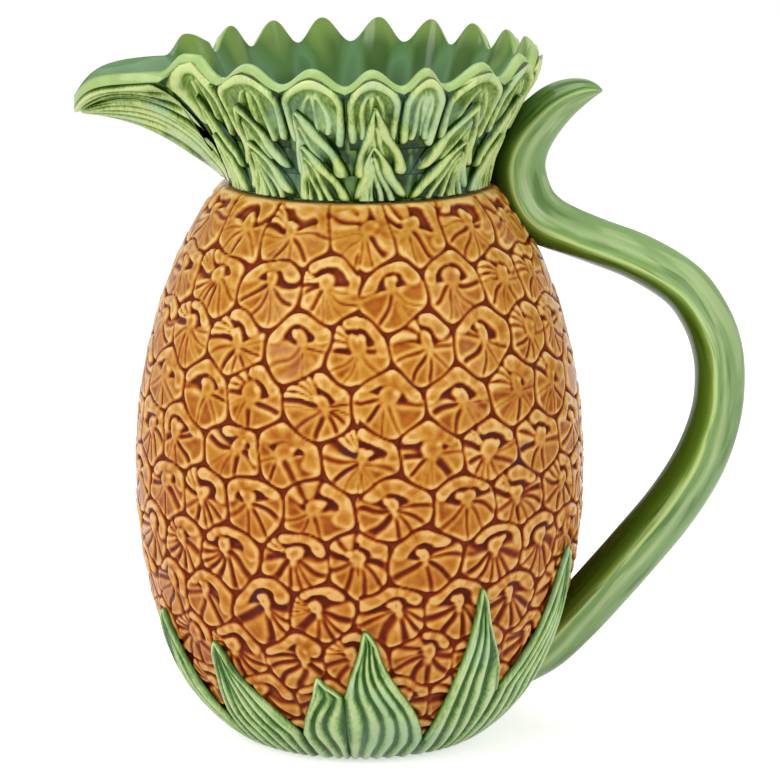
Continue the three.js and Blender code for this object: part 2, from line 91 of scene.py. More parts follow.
# The leaves round the foot: where they start, how wide a flute is, and the height at which flutes are counted
BASE_FOOT, FLUTE_WIDTH, FLUTE_HEIGHT = 0.9, 6.6, 12
HANDLE_FLATTENING = 0.22


def lerp(a, b, t):
    return a + (b - a) * t


def smooth(x, low, high):
    t = np.clip((np.asarray(x, float) - low) / (high - low), 0, 1)
    return t * t * (3 - 2 * t)


def bump(x, centre, width):
    return np.exp(-(((x - centre) / width) ** 2))


def wobble(row, column):
    wave = np.sin(row * 12.9898 + column * 78.233) * 43758.5453
    return 2 * (wave - np.floor(wave)) - 1


def on_circle(azimuth, radius, height):
    angle = np.radians(azimuth)
    return np.stack(np.broadcast_arrays(radius * np.sin(angle), -radius * np.cos(angle), height), -1)


# Surfaces shared with the solids

def fruit_radius(height):
    height = np.asarray(height, float)
    below = 1 - np.abs(1 - np.clip(height, 0, BELLY_HEIGHT) / BELLY_HEIGHT) ** LOWER_RISE
    low = FOOT_RADIUS + (BELLY_RADIUS - FOOT_RADIUS) * below ** (1 / LOWER_ROUNDING)
    along = np.clip((height - BELLY_HEIGHT) / (SHOULDER_HEIGHT - BELLY_HEIGHT), 0, 1)
    high = NECK_RADIUS + (BELLY_RADIUS - NECK_RADIUS) * (1 - along**2) ** (1 / UPPER_ROUNDING)
    return np.where(height < BELLY_HEIGHT, low, high)


def fruit_offset(azimuth, height, distance, lowest=0.8):
    low = np.maximum(height - 0.25, 0)
    slope = (fruit_radius(height + 0.25) - fruit_radius(low)) / (height + 0.25 - low)
    rise = 1 / np.hypot(1, slope)
    radius = fruit_radius(height) + distance * rise
    return on_circle(azimuth, radius, np.maximum(height - distance * slope * rise, lowest))


def away_from_spout(azimuth):
    return np.abs(np.mod(azimuth - SPOUT_AZIMUTH + 180, 360) - 180)


def spout_share(azimuth):
    away = np.minimum(away_from_spout(azimuth) / SPOUT_HALF_ANGLE, 1)
    return ((1 + np.cos(np.pi * away)) / 2) ** SPOUT_FULLNESS


def rim_tip_share(azimuth):
    azimuth = np.asarray(azimuth, float)
    share = np.zeros(azimuth.shape)
    for tip, left, right in RIM_LEAVES:
        turned = np.mod(azimuth - left, 360) + left
        away = np.where(turned < tip, (tip - turned) / (tip - left), (turned - tip) / (right - tip))
        share = np.where(turned < right, (1 + np.cos(np.pi * np.clip(away, 0, 1) ** 1.05)) / 2, share)
    return share


def rim_level(azimuth):
    lip = np.exp(-((away_from_spout(azimuth) / SPOUT_LIP_ANGLE) ** 2))
    return RIM_HEIGHT - (RIM_HEIGHT - SPOUT_TIP_HEIGHT) * lerp(spout_share(azimuth), lip, SPOUT_LIP_SHARE)


def collar_point(azimuth, along, tip_share=None):
    tip_share = rim_tip_share(azimuth) if tip_share is None else tip_share
    share = spout_share(azimuth)
    tip = tip_share * np.maximum(along, 0) ** RIM_TIP_REACH
    rise = lerp(RIM_TIP_RISE, RIM_TIP_RISE_BACK, (1 - np.cos(np.radians(azimuth))) / 2)
    outer = lerp(RIM_RADIUS, SPOUT_RADIUS, share) + RIM_TIP_FLARE * tip
    radius = lerp(COLLAR_FOOT_RADIUS, outer, np.maximum(along, 0) ** lerp(COLLAR_FLARE, 1, share))
    climb = 1 - np.abs(1 - along) ** lerp(1, SPOUT_BELLY_SWEEP, share)
    return on_circle(azimuth, radius, lerp(COLLAR_FOOT, rim_level(azimuth), climb) + rise * tip)


def collar_normal(azimuth, along):
    low, high = np.maximum(along - 0.01, 0), np.minimum(along + 0.01, 1)
    across = collar_point(azimuth + 0.5, along, 0) - collar_point(azimuth - 0.5, along, 0)
    up = collar_point(azimuth, high, 0) - collar_point(azimuth, low, 0)
    sloped = np.cross(across, up)
    sloped /= np.linalg.norm(sloped, axis=-1, keepdims=True)
    level = on_circle(azimuth, 1.0, 0.0)
    normal = lerp(level, sloped, smooth(along, 0, 0.35)[..., None])
    return normal / np.linalg.norm(normal, axis=-1, keepdims=True)


def collar_offset(azimuth, along, distance):
    azimuth, along, distance = np.broadcast_arrays(azimuth, along, distance)
    return collar_point(azimuth, along) + collar_normal(azimuth, along) * distance[..., None]


# Meshes

def make_piece(name, points, faces, marks=None, uv=None):
    """A mesh object from points in millimetres. marks are numbers or triples for each point, read by the glaze."""
    mesh = bpy.data.meshes.new(name)
    mesh.from_pydata((np.asarray(points) * MM).tolist(), [], [tuple(map(int, f)) for f in faces])
    for key, values in (marks or {}).items():
        values = np.asarray(values, np.float32)
        kind, field = ("FLOAT", "value") if values.ndim == 1 else ("FLOAT_VECTOR", "vector")
        mesh.attributes.new(key, kind, "POINT").data.foreach_set(field, values.ravel())
    if uv is not None:
        mesh.uv_layers.new(name="OFBake").data.foreach_set("uv", np.asarray(uv, np.float32).ravel())
    mesh.validate()
    mesh.shade_smooth()
    piece = bpy.data.objects.new(name, mesh)
    bpy.context.scene.collection.objects.link(piece)
    return piece


def grid_faces(rows, columns, wrap, offset=0):
    """Quads between rows of points; wrap closes each row into a ring."""
    i = np.arange(rows - 1)[:, None]
    j = np.arange(columns if wrap else columns - 1)[None, :]
    k = (j + 1) % columns
    quads = np.stack([i * columns + j, i * columns + k, (i + 1) * columns + k, (i + 1) * columns + j], -1)
    return (quads + offset).reshape(-1, 4)


def face_out(piece):
    """Turns the faces of a closed mesh outwards, by the sign of its volume."""
    mesh = piece.data
    mesh.calc_loop_triangles()
    corners = np.empty(len(mesh.loop_triangles) * 3, np.int32)
    mesh.loop_triangles.foreach_get("vertices", corners)
    points = np.empty(len(mesh.vertices) * 3, np.float32)
    mesh.vertices.foreach_get("co", points)
    a, b, c = points.reshape(-1, 3)[corners.reshape(-1, 3)].transpose(1, 0, 2).astype(float)
    if np.einsum("ij,ij->i", a, np.cross(b, c)).sum() < 0:
        mesh.flip_normals()
    return piece


# Fruit

def eye_places():
    """Azimuth, height, row and number of each eye, as in the solids."""
    eyes = []
    for row, count in enumerate(EYES_PER_ROW):
        for k in range(count):
            azimuth = (k + 0.5 * (row % 2) + EYE_STAGGER * wobble(row, k)) * 360 / count
            eyes.append((azimuth, FIRST_EYE_HEIGHT + row * EYE_PITCH + EYE_DRIFT * wobble(row + 40, k), row, k))
    return np.array(eyes)


def dome(distance, radius, power=1.0, dip=0.0):
    """A rounded hump, 0 from the radius on. A lower power makes its top flatter, and dip hollows the middle."""
    inside = np.clip(1 - (distance / radius) ** 2, 0, 1)
    return inside ** (power / 2) - dip * inside**2


def hood_stretch(u, v):
    """How much farther a point counts from an eye above it, so that each hood is a dome between two eyes."""
    up = v / np.maximum(np.hypot(u, v), 1e-6)
    return 1 + HOOD_STRETCH * smooth(up, -0.35, 0.75)


def eye_relief(u, v, edge, crisp, chance):
    """Height in mm of an eye over the fruit, at u right and v up from its middle and edge in from its groove.

    crisp goes from 0 in the shallow eyes at the neck to 1 in the deep ones at the foot. Each of the eight
    chances is from -1 to 1. Also returns where the hood is and the angle from straight up.
    """
    turn = np.radians(17) * chance[0]
    u, v = u * np.cos(turn) - v * np.sin(turn), u * np.sin(turn) + v * np.cos(turn)
    v = v + 0.9 * chance[4]
    reach = np.hypot(u, v)
    angle = np.degrees(np.arctan2(u, v))
    # The hood: a broad roll along the top, curling in at its right end
    left, right = -88 + 20 * chance[2], 106 + 26 * chance[1]
    fluted = smooth(chance[4], -0.15, 0.15)
    hood_left = lerp(left, -25 + 22 * chance[5], fluted)
    width = lerp(5.3, 4.7, crisp) + 0.8 * chance[3]
    curled = 1.3 * smooth(angle, right - 45, right + 5) + 0.5 * smooth(hood_left - angle, -35, 5)
    past = np.maximum(angle - right, hood_left - angle) * np.radians(1) * np.clip(reach, 3, 8) + width / 2
    across = edge - 0.1 - width / 2 - curled
    hood = dome(np.hypot(across, np.maximum(past, 0)), width / 2, lerp(0.5, 0.8, crisp))
    hollow = dome(np.hypot(across, np.maximum(past + 0.4, 0)), 0.34 * width)
    wrinkles = 0.5 + 0.5 * np.sin(np.radians(angle) * (9 + 2 * chance[6]) + 3 * chance[7])
    hood = (hood - lerp(0.16, 0.30, wrinkles) * hollow) * (np.abs(angle) < 150)
    # Flutes, which stand in for the hood's left half on some eyes
    flutes = 3 + np.round(0.9 * chance[6])
    share = np.clip((angle - left) / np.maximum(hood_left - left, 25), 0, 1)
    flute = np.abs(np.sin(np.pi * flutes * share)) ** 0.45 * smooth(edge, 0.0, 1.2) * smooth(reach, 1.8, 4.5) * fluted
    # The bud with its curl and its stem
    bud = dome(np.hypot(u - 0.5 * chance[5], 0.8 * (v - 0.5)), 2.8 + 0.4 * chance[7], 0.6, 0.34)
    curl = dome(np.hypot(u - 1.7 * np.sign(chance[7]), v - 1.9), 1.9)
    stem = dome(np.abs(u + 0.15 * chance[5] * v), 1.6) * smooth(v, -7.5, -3) * (1 - smooth(v, -1, 1))
    bud = np.maximum(np.maximum(bud, 0.9 * curl), 0.72 * stem)
    # The petals: a fan below the bud, with narrow creases that close before the groove
    down = np.degrees(np.arctan2(u, -(v + 1.2)))
    length = np.hypot(u, v + 1.2)
    petals = 5.0 + (chance[6] > 0.0) + (chance[2] > 0.5) - (chance[6] < -0.7)
    first, last = -102 + 8 * chance[2], 102 + 8 * chance[1]
    bent = down + 11 * np.sin(np.radians(2 * down + 90 * chance[7])) + 1.3 * chance[5] * np.clip(length - 2, 0, 8)
    phase = (bent + 10 * chance[3] - first) / (last - first) * petals
    number = np.floor(phase)
    odd = wobble(number, 3.0 + np.round(9 * chance[6]))
    line = np.round(phase)
    odd_line = wobble(line, 7.0 + np.round(9 * chance[5]))
    half = np.maximum(length, 0.3) * np.radians(last - first) / (2 * petals)
    off = np.abs(2 * (phase - line)) * half
    opening = lerp(0.55, 0.95, crisp) * (1 + 0.55 * odd_line) * smooth(length, 0.8, 4.5)
    closed = smooth(-edge, -2.4 - 0.8 * odd_line, -0.9) * lerp(0.9, 0.45, crisp)
    shallow = np.clip(lerp(0.40, 0.05, crisp) - 0.35 * odd_line, 0, 1)
    fan = lerp(shallow, 1, smooth(off, 0.1 * opening, opening + lerp(0.3, 1.1, crisp)))
    fan = np.maximum(fan, closed)
    sunk = smooth(off, opening, 2.2) * smooth(edge, 0.9, 2.6) * smooth(length, 2.5, 4.5)
    fan = fan * (1 - lerp(0.12, 0.42, 0.5 + 0.5 * odd) * sunk)
    fan *= smooth(length, 0.4, 2.0) * (1 - smooth(np.abs(down), 96, 112))
    humps = (lerp(1.6, 2.0, crisp) * hood, 1.5 * flute, lerp(1.25, 1.5, crisp) * fan, lerp(1.8, 2.2, crisp) * bud)
    relief = lerp(-0.35, -0.7, crisp) + np.max(humps, axis=0)
    return relief, hood, angle


def softened(field, step_down, step_across, reach):
    """The field averaged over about reach mm each way. step_across has one value to a row."""
    passes = 3
    for _ in range(passes):
        part = np.clip((reach / step_down) ** 2 / passes, 0, 0.5)
        inner = field[1:-1] * (1 - part) + (field[:-2] + field[2:]) * part / 2
        field = np.concatenate([field[:1], inner, field[-1:]])
        part = np.clip((reach / step_across[:, None]) ** 2 / passes, 0, 0.5)
        field = field * (1 - part) + (np.roll(field, 1, 1) + np.roll(field, -1, 1)) * part / 2
    return field


def fruit_mesh():
    columns, neck_columns = FRUIT_COLUMNS, FRUIT_COLUMNS // 14
    heights = [0.0, 0.5, 1.5, 3.0, 5.0, 7.0]
    while heights[-1] < SHOULDER_HEIGHT:
        z = heights[-1]
        slope = (fruit_radius(z + 0.5) - fruit_radius(z)) / 0.5
        heights.append(z + FRUIT_STEP / np.hypot(1, slope))
    heights = np.array(heights[:-1] + [SHOULDER_HEIGHT])
    radius = fruit_radius(heights)
    arc = np.concatenate([[0], np.cumsum(np.hypot(np.diff(heights), np.diff(radius)))])
    azimuths = np.arange(columns) * 360 / columns
    eyes = eye_places()
    eye_arc = np.interp(eyes[:, 1], heights, arc)
    pitch = 2 * np.pi * fruit_radius(eyes[:, 1]) / np.array(EYES_PER_ROW)[eyes[:, 2].astype(int)]
    relief = np.zeros((len(heights), columns))
    edges, hoods, eye_uv = relief.copy(), relief.copy(), np.zeros((len(heights), columns, 3))
    for i, z in enumerate(heights):
        close = np.abs(arc[i] - eye_arc) < 3 * EYE_PITCH
        eye, near_arc, near_pitch = eyes[close], eye_arc[close], pitch[close]
        sway = LINE_SWAY * np.sin(azimuths[:, None] * 0.41 + arc[i] * 0.23)
        turn = np.radians(np.mod(azimuths[:, None] - eye[None, :, 0] + 180, 360) - 180) * radius[i] + sway
        drop = arc[i] - near_arc[None, :] + LINE_SWAY * np.sin(azimuths[:, None] * 0.37 - arc[i] * 0.21)
        far = np.hypot(turn, drop) * hood_stretch(turn, drop)
        order = np.argpartition(far, 4, axis=1)[:, :5]
        near = np.take_along_axis(far, order, 1)
        by_nearness = np.argsort(near, 1)
        order, near = np.take_along_axis(order, by_nearness, 1), np.take_along_axis(near, by_nearness, 1)
        first = order[:, 0]
        u = np.take_along_axis(turn, order[:, :1], 1)[:, 0]
        v = np.take_along_axis(drop, order[:, :1], 1)[:, 0]
        border = 0.55 - CELL_ROUNDING * np.log(np.exp(-(near[:, 1:] - near[:, :1]) / 2.2 / CELL_ROUNDING).sum(1))
        edge = np.minimum(border, 13.9 - 0.78 * near[:, 0])
        scale = FULL_EYE / near_pitch[first]
        chance = [wobble(eye[first, 2] * 3.7 + 5 * c, eye[first, 3] + 11 * c) for c in range(8)]
        crisp = smooth(-eye[first, 1], -150, -60)
        local, hood, angle = eye_relief(u * scale, v, edge * np.sqrt(scale), crisp, chance)
        local = np.maximum(local, -0.6 + 1.3 * smooth(border - edge, 0.4, 1.8))
        relief[i] = lerp(GROOVE_LEVEL, local, smooth(border, 0.1, 1.2))
        edges[i], hoods[i] = border, hood
        eye_uv[i] = np.stack([np.sin(np.radians(angle)), np.cos(np.radians(angle)), chance[0]], -1)
    # The relief fades into the plain foot and neck
    fade = smooth(heights, 1, 9) * (1 - smooth(heights, 206, 207))
    across = 2 * np.pi * radius / columns
    relief = softened(relief * fade[:, None], FRUIT_STEP, across, RELIEF_SOFTENING)
    close = wide = softened(relief, FRUIT_STEP, across, 1.1)
    for _ in range(7):
        wide = softened(wide, FRUIT_STEP, across, 1.0)
    # Where the glaze pools and where it runs thin: fine creases and ridges, and the broad hollows
    pool = softened(2.4 * (close - relief) + 0.9 * (wide - relief), FRUIT_STEP, across, 0.3)
    outside = fruit_offset(azimuths[None, :], heights[:, None], relief, 0.0)
    outside[-1, :, 2] = SHOULDER_HEIGHT
    count = len(heights)
    inside_heights = lerp(FLOOR_THICKNESS, SHOULDER_HEIGHT, (1 + np.cos(np.pi * np.arange(25) / 24)) / 2)
    turns = np.arange(neck_columns) * 360 / neck_columns
    inside = on_circle(turns[None, :], fruit_radius(inside_heights)[:, None] - FRUIT_WALL, inside_heights[:, None])
    base = count * columns
    points = np.concatenate([outside.reshape(-1, 3), inside.reshape(-1, 3), [[0, 0, 0], [0, 0, FLOOR_THICKNESS]]])
    faces = [grid_faces(count, columns, True)]
    faces.append(grid_faces(len(inside_heights), neck_columns, True, base))
    step = columns // neck_columns
    last = (count - 1) * columns
    lip = []
    for k in range(neck_columns):
        here, following = base + k, base + (k + 1) % neck_columns
        middle = k * step + step // 2
        for j in range(step):
            a, b = last + (k * step + j) % columns, last + (k * step + j + 1) % columns
            lip.append((a, b, here if k * step + j < middle else following))
        lip.append((here, last + middle, following))
    bottom, floor = len(points) - 2, len(points) - 1
    end = base + (len(inside_heights) - 1) * neck_columns
    fan = [((k + 1) % columns, k, bottom) for k in range(columns)]
    fan += [(end + k, end + (k + 1) % neck_columns, floor) for k in range(neck_columns)]
    all_faces = [tuple(f) for part in faces for f in part.tolist()] + lip + fan
    rest = len(points) - base
    marks = {
        "pool": np.concatenate([pool.ravel(), np.zeros(rest)]),
        "edge": np.concatenate([edges.ravel(), np.full(rest, 9.0)]),
        "hood": np.concatenate([hoods.ravel(), np.zeros(rest)]),
        "eye": np.concatenate([eye_uv.reshape(-1, 3), np.zeros((rest, 3))]),
        "inner": np.concatenate([np.zeros(base), np.ones(rest)]),
    }
    # A flat map: the outside above, the inside below it
    uv_outside = np.stack(np.meshgrid(azimuths / 360, 0.32 + 0.66 * arc / arc[-1]), -1).reshape(-1, 2)
    level = np.linspace(0.25, 0.05, len(inside_heights))
    uv_inside = np.stack(np.meshgrid(turns / 360, level), -1).reshape(-1, 2)
    uv_point = np.concatenate([uv_outside, uv_inside, [[0.5, 0.30], [0.5, 0.02]]])
    uv = []
    for f in all_faces:
        corner = uv_point[list(f)]
        wide = corner[:, 0].max() - corner[:, 0].min() > 0.5
        uv.append(np.where((corner < 0.25) & wide & np.array([True, False]), corner + [1.0, 0.0], corner))
    uv = np.concatenate(uv) * [0.98, 1.0]
    return face_out(make_piece("fruit_body_glazed", points, all_faces, marks, uv))


# Crown

def crown_wall_mesh():
    columns = 720
    azimuths = np.arange(columns) * 360 / columns
    rise = np.concatenate([np.linspace(0, 0.9, 26), np.linspace(0.92, 1, 8)])
    outside = [collar_offset(azimuths, a, 0.0) for a in rise]
    inside = [collar_offset(azimuths, a, -COLLAR_WALL) for a in rise[::-1]]
    # The lip is rounded from the outside to the inside
    lip = []
    for turn in np.radians([20, 45, 70, 90, 110, 135, 160]):
        across, over = COLLAR_WALL / 2 * (1 - np.cos(turn)), LIP_RISE * np.sin(turn)
        point = collar_offset(azimuths, 1.0, -across)
        lip.append(point + on_circle(azimuths, 0.0, over))
    rings = np.array(outside + lip + inside)
    rows = len(rings)
    points = rings.reshape(-1, 3)
    faces = grid_faces(rows, columns, True).tolist()
    faces += [((rows - 1) * columns + j, (rows - 1) * columns + (j + 1) % columns, (j + 1) % columns, j)
              for j in range(columns)]
    level = np.concatenate([rise, np.ones(len(lip)), rise[::-1]])
    side = np.concatenate([np.zeros(len(rise)), np.linspace(0.2, 0.8, len(lip)), np.ones(len(rise))])
    tip = rim_tip_share(azimuths)
    marks = {
        "level": np.repeat(level, columns),
        "side": np.repeat(side, columns),
        "tip": np.tile(tip, rows),
    }
    uv = []
    for f in faces:
        row, column = np.divmod(np.array(f), columns)
        wide = column.max() - column.min() > columns / 2
        column = np.where(wide & (column < columns / 2), column + columns, column)
        row = np.where((row == 0) & (row.max() > 2), rows, row)
        uv += list(zip(column / (columns + 1), row / (rows + 1)))
    return face_out(make_piece("crown_wall_glazed", points, faces, marks, uv))


def leaf_mesh(name, surface, place, relief, lift, rows, half):
    """A leaf on a surface. place(across, along) says where a point lies there, and relief how high it stands."""
    across = np.linspace(-1, 1, 2 * half + 1)
    below = np.linspace(1, -1, 7)
    rings, ridges = [], []
    for row in range(rows + 1):
        share = row / rows
        height, ridge = relief(across, share)
        outer = surface(*place(across, share), lift(share) + height)
        inner = surface(*place(below, share), np.full(len(below), lift(share)))
        rings.append(np.concatenate([outer, inner]))
        end = ridge.max() if row == rows else 0.0
        ridges.append(np.concatenate([ridge, np.full(len(below), end)]))
    columns = len(rings[0])
    points = np.array(rings).reshape(-1, 3)
    faces = grid_faces(rows + 1, columns, True).tolist()
    faces += [list(range(columns))[::-1], list(range(rows * columns, (rows + 1) * columns))]
    return face_out(make_piece(name, points, faces, {"ridge": np.array(ridges).ravel()}))


def between(outline, levels):
    """Places between the two edges that outline gives for each share of the height."""
    def place(across, share):
        left, right = outline(share)
        return lerp(left, right, (across + 1) / 2), np.full(np.shape(across), lerp(levels[0], levels[1], share))
    return place


def veined(kind, seed, place, tip, levels):
    """Relief of a crown leaf: two broad arms part at the tip, and thinner ribs run down between them."""
    arm_half, arm_height, rib_height, floor = kind["arm"], 2.4, 2.0, 0.12
    length = (levels[1] - levels[0]) * CROWN_HEIGHT

    def relief(across, share):
        turn, level = place(across, share)
        level = level[0]
        around = np.radians(1) * lerp(COLLAR_FOOT_RADIUS, RIM_RADIUS, level)
        x = (turn - tip) * around
        half = np.where(x < 0, (tip - kind["left"]) * around, (kind["right"] - tip) * around)
        y = (levels[1] - level) * CROWN_HEIGHT
        side = np.where(x < 0, 0.0, 5.0)

        def rib(spread, start, stop, thick, number):
            """One rib from near the tip to its rounded end. spread is its share of the leaf's half width."""
            down = max(y - start, 0.0)
            if kind["dome"]:
                reach = np.sqrt(max(1 - (1 - min(down / 9.0, 1)) ** 2, 0)) * (1 - 0.1 * down / length)
            else:
                reach = (down / (length - start)) ** 0.9
            bend = 0.5 * thick * np.sin(0.35 * y + 2 * wobble(seed, number))
            centre = spread * (half - arm_half - 0.2) * reach + bend
            slope = spread * half * (2.0 / length if kind["dome"] and down < 8 else 0.9 / length)
            away = np.abs(np.abs(x) - centre) / np.hypot(1, slope)
            end = stop + 1.8 * (wobble(seed + side, number))
            past = np.maximum(y - end + thick, 0)
            before = max(start + thick * 0.4 - y, 0)
            full = thick * lerp(0.75, 1.2, min(y / length, 1))
            return dome(np.hypot(np.hypot(away, past), before), full, 0.8)

        if kind["dome"]:
            # The arms follow the scalloped edge and turn down at its valleys
            corner, top = 6.0, y + 1.2
            inward = np.hypot(np.maximum(corner - half + np.abs(x), 0), max(corner - top, 0))
            rim = np.where(inward > 0, corner - inward, np.minimum(half - np.abs(x), top))
            stop = length - 2.2 + 1.2 * (wobble(seed + side, 1.0))
            arm = arm_half * lerp(1, 1.25, smooth(y, 5, length))
            away = np.hypot(rim - arm + 0.25, np.maximum(y - stop + arm, 0))
            ridge = dome(away, arm, 0.8)
            inside = smooth(rim, arm, 2 * arm)
        else:
            ridge = rib(1.0, 0.0, length - 1.0, arm_half, 1.0)
            inside = smooth(half * (y / length) ** 0.9 - np.abs(x), 0.5, 2.5)
        height = arm_height * ridge
        for number, (spread, start, stop, thick) in enumerate(kind["ribs"]):
            thin = rib(spread, start, stop, thick, 2.0 + number) * smooth(half, 4.0, 6.5)
            ridge = np.maximum(ridge, 0.92 * thin)
            height = np.maximum(height, rib_height * thin)
        body = inside * (1 - smooth(y, 0.55 * length, length))
        height = np.maximum(height, 0.9 * body)
        ridge = np.maximum(ridge, 0.58 * body)
        edge = np.sqrt(np.clip(1 - np.abs(across) ** 10, 0, 1))
        if kind["dome"]:
            height = height * lerp(0.6, 1, np.sqrt(1 - (1 - min(y / 1.6, 1)) ** 2))
        return floor + edge * height, ridge * edge
    return relief


def crown_leaves():
    leaves = []
    for k, (tip, left, right) in enumerate(RIM_LEAVES):
        def outline(share, tip=tip, left=left, right=right):
            width = lerp(0.9, 1, smooth(share, 0, 0.4))
            return tip - width * (tip - left) + LEAF_GAP, tip + width * (right - tip) - LEAF_GAP
        kind = {"left": left, "right": right, "dome": True, "arm": 1.85,
                "ribs": [(0.0, 3.6, 15.0, 1.25), (0.5, 3.0, 17.0, 1.3)]}
        name = "rim_leaf_%02d" % (k + 1)
        place = between(outline, RIM_LEVELS)
        relief = veined(kind, k + 0.5, place, tip, RIM_LEVELS)
        leaves.append((leaf_mesh(name + "_glazed", collar_offset, place, relief, lambda share: 0.1, 44, 22), name))
    tiers = [
        ("middle_leaf_%02d", MIDDLE_LEVELS, 60.0, 2.25, [(0.52, 5.5, 21.0, 1.2), (0.14, 9.0, 18.0, 1.1)]),
        ("lower_leaf_%02d", LOWER_LEVELS, 90.0, 2.0,
         [(0.60, 4.5, 30.0, 1.1), (0.28, 7.0, 30.0, 1.0), (0.0, 9.0, 30.0, 0.95)]),
    ]
    for label, levels, seed, arm, ribs in tiers:
        for k, (tip, left, right) in enumerate(CROWN_COLUMNS):
            def outline(share, tip=tip, left=left, right=right):
                width = 1 - 0.93 * share**1.2
                return tip - width * (tip - left) + LEAF_GAP, tip + width * (right - tip) - LEAF_GAP
            kind = {"left": left, "right": right, "dome": False, "arm": arm, "ribs": ribs}
            name = label % (k + 1)
            place = between(outline, levels)
            relief = veined(kind, k + seed, place, tip, levels)
            leaves.append((leaf_mesh(name + "_glazed", collar_offset, place, relief,
                                     lambda share: 0.05 + 2.7 * share**1.5, 48, 20), name))
    for side, name in ((1, "spout_leaf_near"), (-1, "spout_leaf_far")):
        leaves.append((leaf_mesh(name + "_glazed", collar_offset, spout_place(side), spout_relief,
                                 lambda share: 0.1, 90, 28), name))
    return leaves


def spout_place(side):
    """Places on a flank of the spout, in lines that fan back from its tip: to the neck, the collar and the rim."""
    def place(across, share):
        turn = (across + 1) / 2
        low, high = np.clip(turn / 0.4, 0, 1), np.clip((turn - 0.4) / 0.6, 0, 1)
        back = 1 - 0.97 * share
        away = lerp(0.8, 17.0, low) * back**0.85
        level = 1 - (1 - lerp(0.04, 1.0, high)) * back
        return SPOUT_AZIMUTH + side * away, level
    return place


def spout_relief(across, share):
    """Relief of the leaf on the spout: broad and smooth, with a rim and ten grooves that fan back from the tip.

    Each groove has its place across, where it starts and ends along the spout, its half width and its depth.
    """
    grooves = ((0.80, 0.02, 0.80, 0.022, 0.55), (0.58, 0.05, 0.93, 0.045, 0.9), (0.40, 0.30, 0.97, 0.030, 0.8),
               (0.24, 0.0, 0.97, 0.065, 1.0), (0.02, 0.72, 0.97, 0.030, 0.8), (-0.05, 0.0, 0.45, 0.030, 0.6),
               (-0.22, 0.15, 0.95, 0.035, 0.8), (-0.45, 0.0, 0.9, 0.030, 0.7), (-0.62, 0.4, 0.96, 0.035, 0.8),
               (-0.80, 0.1, 0.85, 0.030, 0.6))
    smooth_part = 1.0
    for k, (middle, start, stop, half, depth) in enumerate(grooves):
        along = smooth(share, start - 0.06, start + 0.14) * (1 - smooth(share, stop - 0.12, stop))
        middle = middle + 0.035 * np.sin(5 * share + 3 * wobble(k, 2.0))
        widen = lerp(1.5, 1.0, smooth(share, 0, 0.5)) * lerp(1, 2.2, smooth(share, 0.75, 1.0))
        smooth_part = smooth_part * (1 - depth * along * bump(across, middle, half * widen))
    swell = 0.5 + 0.5 * np.sin(3.2 * across + 4 * share + 1.0)
    tip = smooth(share, 0.96, 1.0)
    edge = np.sqrt(np.clip(1 - np.abs(across) ** 10, 0, 1))
    ridge = smooth_part * lerp(0.74, 1.0, np.maximum(swell, bump(across, 0.95, 0.09)))
    height = 0.15 + lerp(0.75, 1, edge) * 2.2 * ridge * lerp(0.6, 1, smooth(share, 0, 0.2))
    return height * lerp(1, 0.5, tip), ridge * np.where(across > 0, 1, edge)


# Leaves round the foot

def base_leaves():
    leaves = []
    for k, (tip, left, right, top, left_notch, right_notch) in enumerate(BASE_LEAVES):
        def parted(z, notch, top=top):
            """0 below the notch, where the leaf joins its neighbour, to 1 at the tip."""
            return np.clip((z - notch) / (top - notch), 0, 1)

        def outline(share, tip=tip, left=left, right=right, top=top, notches=(left_notch, right_notch)):
            z = lerp(BASE_FOOT, top, share)
            ends = []
            for edge, notch in ((left, notches[0]), (right, notches[1])):
                up = parted(z, notch, top)
                lean = 0.10 * np.sin(np.pi * up) * np.sin(5 * up + tip)
                ends.append(lerp(tip, edge, (1 - up) ** 1.4 * 0.88 + 0.12 * np.sqrt(min(1, (1 - up) * 8)) + lean * 0.5))
            return ends

        def relief(across, share, k=k, top=top, outline=outline, span=right - left,
                   notches=(left_notch, right_notch)):
            z = lerp(BASE_FOOT, top, share)
            low, high = outline(share)
            width = np.radians(high - low) * fruit_radius(z)
            flutes = np.round(np.radians(span) * fruit_radius(FLUTE_HEIGHT) / FLUTE_WIDTH) + 1
            sway = 0.45 * np.sin(2.4 * np.pi * share + 3 * wobble(k, 5.0)) * (1 - across**2)
            phase = (across + 1) / 2 + sway / flutes
            number = np.floor(phase * flutes)
            wave = 0.5 - 0.5 * np.cos(2 * np.pi * phase * flutes)
            stop = 0.55 + 0.4 * np.abs(wobble(number, k + 3.0))
            wave = wave ** 0.6 * lerp(1, 0.35, smooth(share, stop - 0.2, stop + 0.1))
            rim = bump((1 - np.abs(across)) * width / 2, 0.8, 1.0)
            free = np.where(across < 0, parted(z, notches[0]) > 0, parted(z, notches[1]) > 0)
            joined = [smooth(z, notch - 4, notch + 2) for notch in notches]
            joined = np.where(across < 0, joined[0], joined[1])
            edge = lerp(1, np.sqrt(np.clip(1 - np.abs(across) ** 8, 0, 1)), joined)
            ridge = np.maximum(wave, 0.95 * rim * joined * free)
            thick = 1.9 * lerp(0.45, 1, smooth(width, 0, 6)) * lerp(0.6, 1, smooth(z, 0, 6))
            return thick * (0.1 + edge * (0.35 + 0.75 * ridge)), ridge * lerp(0.6, 1, edge)
        name = "base_leaf_%02d" % (k + 1)
        leaves.append((leaf_mesh(name + "_glazed", fruit_offset, between(outline, (BASE_FOOT, top)), relief,
                                 lambda share: 1.2, 64, 26), name))
    return leaves


# Handle

